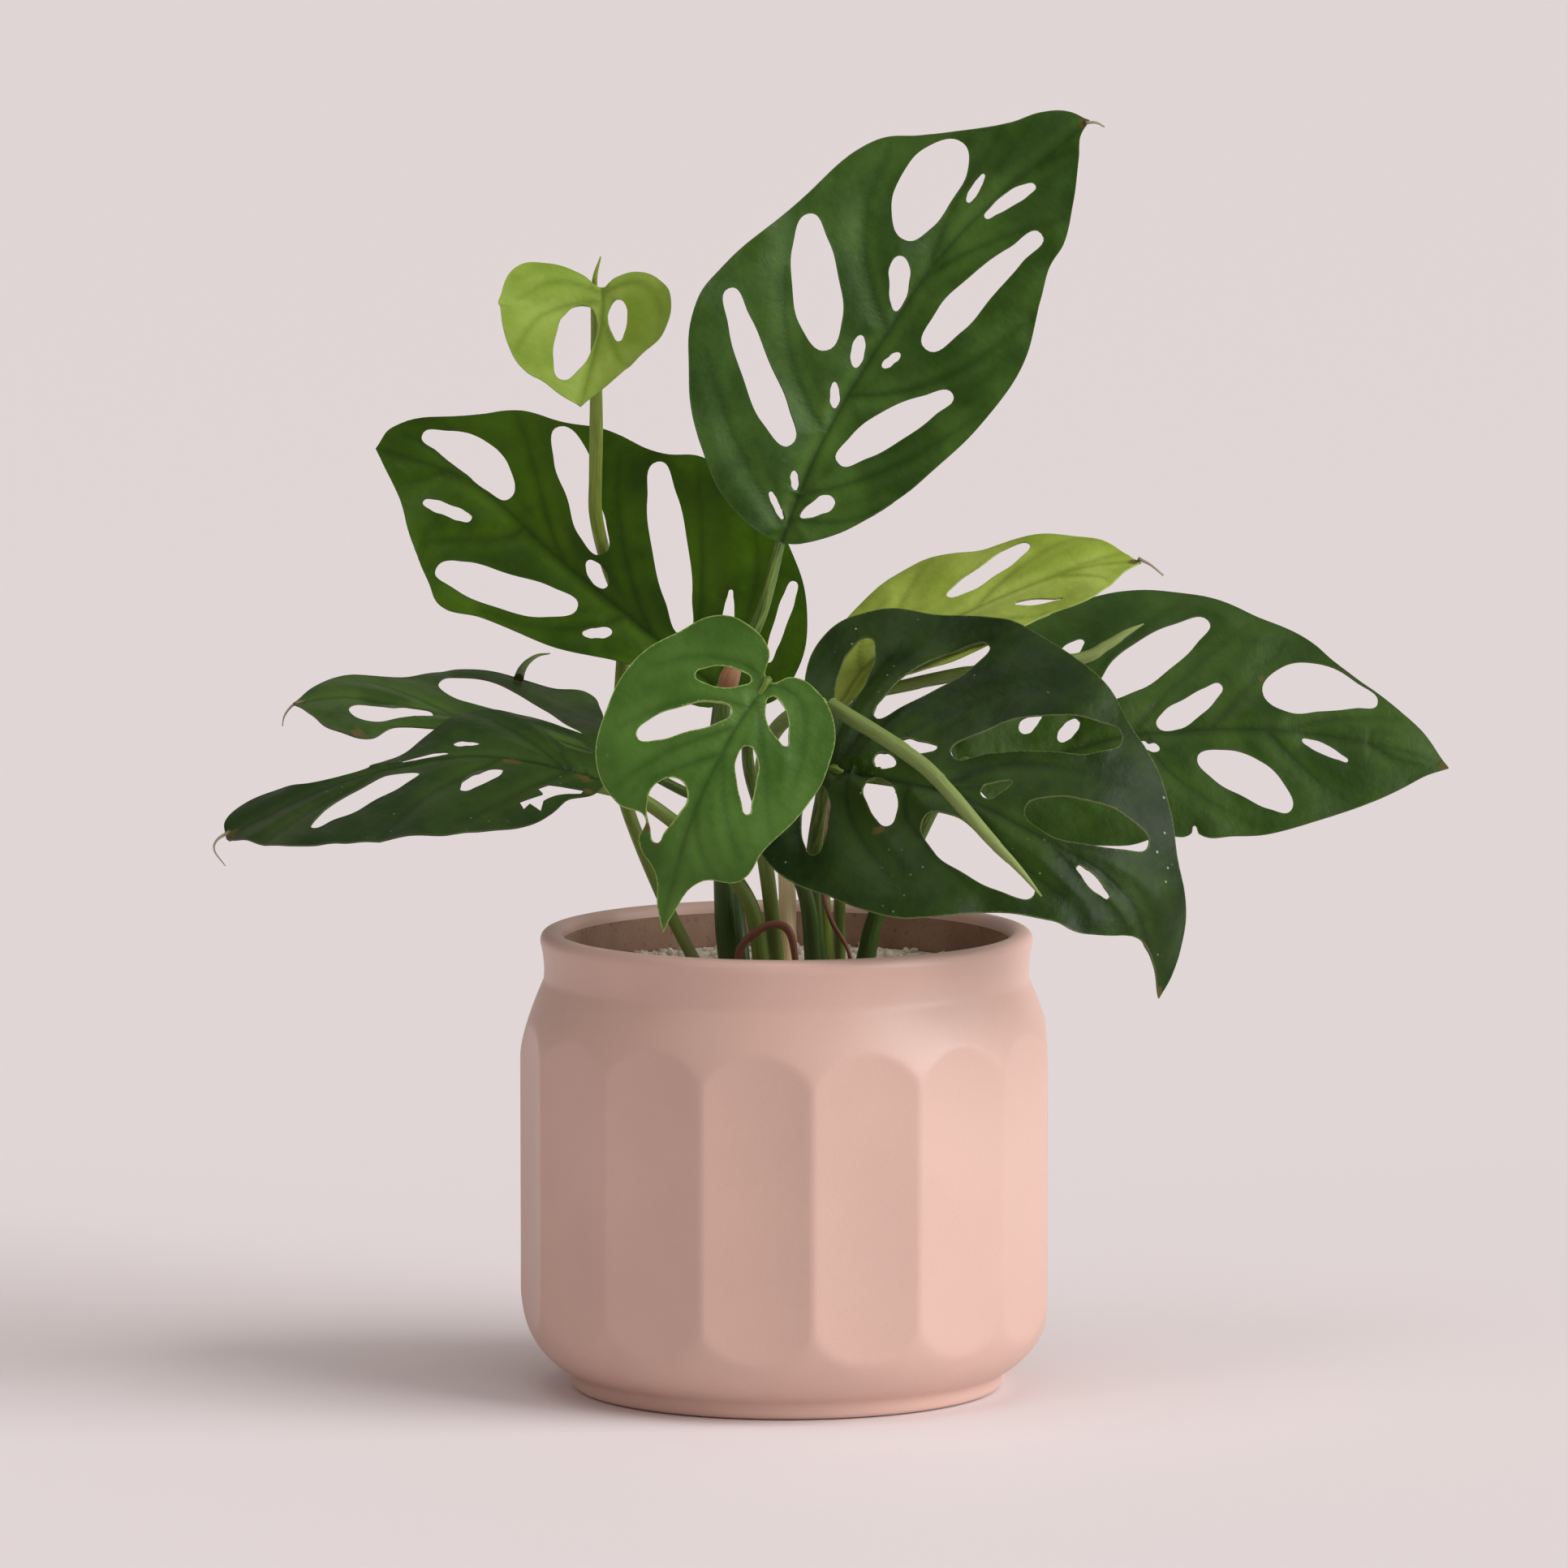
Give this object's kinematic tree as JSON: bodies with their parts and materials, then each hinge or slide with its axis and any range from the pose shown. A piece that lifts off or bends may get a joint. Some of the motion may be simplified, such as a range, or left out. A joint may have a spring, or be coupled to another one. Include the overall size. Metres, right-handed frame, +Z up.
{
  "type": "potted monstera plant",
  "caption": "Small trailing monstera with perforated heart-shaped leaves, pale unfurling shoots and a fluted ceramic pot of pale grit.",
  "frame": {"origin": "centre of the pot's flat underside", "axes": "+Z up along the pot's axis, -Y towards the side with the drooping front leaves, +X towards the leaf that reaches furthest right"},
  "size_m": [0.2869, 0.1313, 0.2975],
  "materials": {
    "pot_ceramic": "satin, unglazed look, dusty pink",
    "pale_grit": "matte, loose pale grains",
    "dark_leaf": "living leaf, dark green, soft satin",
    "front_leaf": "living leaf, mid green, soft satin",
    "young_leaf": "young living leaf, yellow green, satin",
    "dark_stem": "living stem, dark green, satin",
    "pale_stem": "young living stem, pale green, satin",
    "dry_wood": "matte, dry split cane",
    "root_bark": "matte, dark reddish brown root"
  },
  "bodies": {
    "root": {"pot": "pot_ceramic", "growing_medium": "pale_grit", "leaf_top": "dark_leaf", "leaf_back_left": "dark_leaf", "leaf_young_heart": "young_leaf", "leaf_left_low": "dark_leaf", "leaf_left_rear": "dark_leaf", "leaf_front": "front_leaf", "leaf_front_right": "dark_leaf", "leaf_right": "dark_leaf", "leaf_pale_right": "young_leaf", "petiole_top": "dark_stem", "petiole_back_left": "dark_stem", "petiole_left_low": "dark_stem", "petiole_left_rear": "dark_stem", "petiole_front": "dark_stem", "petiole_front_right": "dark_stem", "petiole_right": "dark_stem", "vine_pale_right": "pale_stem", "vine_left": "pale_stem", "stem_rolled_front": "pale_stem", "stem_rolled_rear": "pale_stem", "rolled_leaf_front": "pale_stem", "rolled_leaf_rear": "pale_stem", "stake": "dry_wood", "aerial_root_left": "root_bark", "aerial_root_right": "root_bark"}
  },
  "joints": []
}
